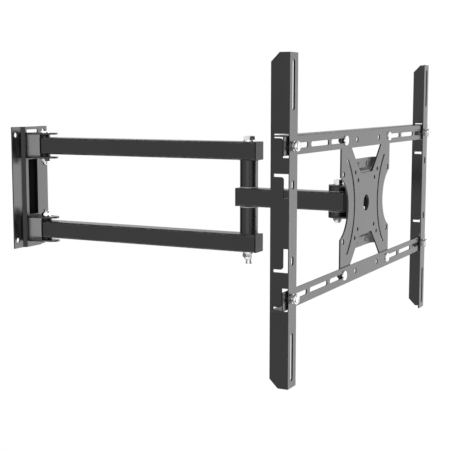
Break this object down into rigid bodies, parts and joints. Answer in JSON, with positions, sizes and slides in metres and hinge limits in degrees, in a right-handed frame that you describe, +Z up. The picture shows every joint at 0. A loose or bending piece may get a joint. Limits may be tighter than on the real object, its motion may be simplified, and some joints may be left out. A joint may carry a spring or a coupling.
{
  "type": "full motion tv wall mount",
  "caption": "Full motion wall mount for a flat screen: twin arms and a forearm on vertical hinges, a swivel and tilt head, and a railed frame with two sliding upright brackets.",
  "frame": {"origin": "middle of the wall plate's back, on the wall, level with the forearm and the middle of the screen plate", "axes": "+Y into the wall and -Y out into the room, +X to the right for someone who faces the wall, +Z up; drawn pulled straight out, screen frame parallel to the wall"},
  "size_m": [0.646, 0.6653, 0.44],
  "materials": {
    "black_coat": "satin black powder coat on steel",
    "bright_zinc": "bright plated steel fasteners",
    "black_steel": "blackened steel nuts and rivets",
    "black_plastic": "moulded black plastic, fine texture",
    "nylon": "natural nylon"
  },
  "bodies": {
    "wall_bracket": {"wall_plate": "black_coat", "pan_liner": "black_plastic", "upper_hinge_bracket": "black_coat", "lower_hinge_bracket": "black_coat", "upper_hinge_bolt": "bright_zinc", "lower_hinge_bolt": "bright_zinc", "upper_hinge_nut": "bright_zinc", "lower_hinge_nut": "bright_zinc", "upper_hinge_bushes": "black_plastic", "lower_hinge_bushes": "black_plastic"},
    "arms": {"upper_arm_tube": "black_coat", "lower_arm_tube": "black_coat", "upper_arm_barrel": "black_coat", "lower_arm_barrel": "black_coat", "upper_arm_cap": "black_plastic", "lower_arm_cap": "black_plastic", "arm_spacers": "bright_zinc", "elbow_upper_column": "black_coat", "elbow_lower_column": "black_coat", "elbow_bolt": "bright_zinc", "elbow_nut": "bright_zinc", "elbow_washers": "bright_zinc", "elbow_glides": "nylon"},
    "forearm": {"forearm_tube": "black_coat", "forearm_elbow_bush": "black_coat", "forearm_swivel_bush": "black_coat", "forearm_rear_cap": "black_plastic", "forearm_front_cap": "black_plastic"},
    "swivel_head": {"swivel_yoke": "black_coat", "swivel_upper_boss": "black_coat", "swivel_lower_boss": "black_coat", "swivel_bolt": "bright_zinc", "swivel_nut": "bright_zinc", "swivel_washer": "bright_zinc", "swivel_glides": "nylon"},
    "screen_frame": {"tilt_bracket": "black_coat", "tilt_bolt": "bright_zinc", "tilt_nut": "bright_zinc", "tilt_washers": "bright_zinc", "screen_plate": "black_coat", "plate_rivets": "black_steel", "top_rail": "black_coat", "bottom_rail": "black_coat", "rail_bolts": "bright_zinc", "rail_nuts": "black_steel"},
    "left_side": {"left_bracket": "black_coat", "left_bracket_screws": "bright_zinc", "left_bracket_collars": "bright_zinc", "left_bracket_nuts": "black_steel"},
    "right_side": {"right_bracket": "black_coat", "right_bracket_screws": "bright_zinc", "right_bracket_collars": "bright_zinc", "right_bracket_nuts": "black_steel"}
  },
  "joints": [
    {"name": "wall_pan", "type": "hinge", "parent": "wall_bracket", "child": "arms", "pos_m": [0, -0.0365, 0], "axis": [0, 0, 1], "range_deg": [-90, 90]},
    {"name": "elbow_fold", "type": "hinge", "parent": "arms", "child": "forearm", "pos_m": [0, -0.4485, 0], "axis": [0, 0, -1], "range_deg": [-110, 110]},
    {"name": "head_swivel", "type": "hinge", "parent": "forearm", "child": "swivel_head", "pos_m": [0, -0.6045, 0], "axis": [0, 0, 1], "range_deg": [-80, 80]},
    {"name": "head_tilt", "type": "hinge", "parent": "swivel_head", "child": "screen_frame", "pos_m": [0, -0.639, 0], "axis": [1, 0, 0], "range_deg": [-5, 15]},
    {"name": "left_bracket_slide", "type": "slide", "parent": "screen_frame", "child": "left_side", "axis": [1, 0, 0], "range_m": [-0.011, 0.053]},
    {"name": "right_bracket_slide", "type": "slide", "parent": "screen_frame", "child": "right_side", "axis": [-1, 0, 0], "range_m": [-0.011, 0.053]}
  ]
}
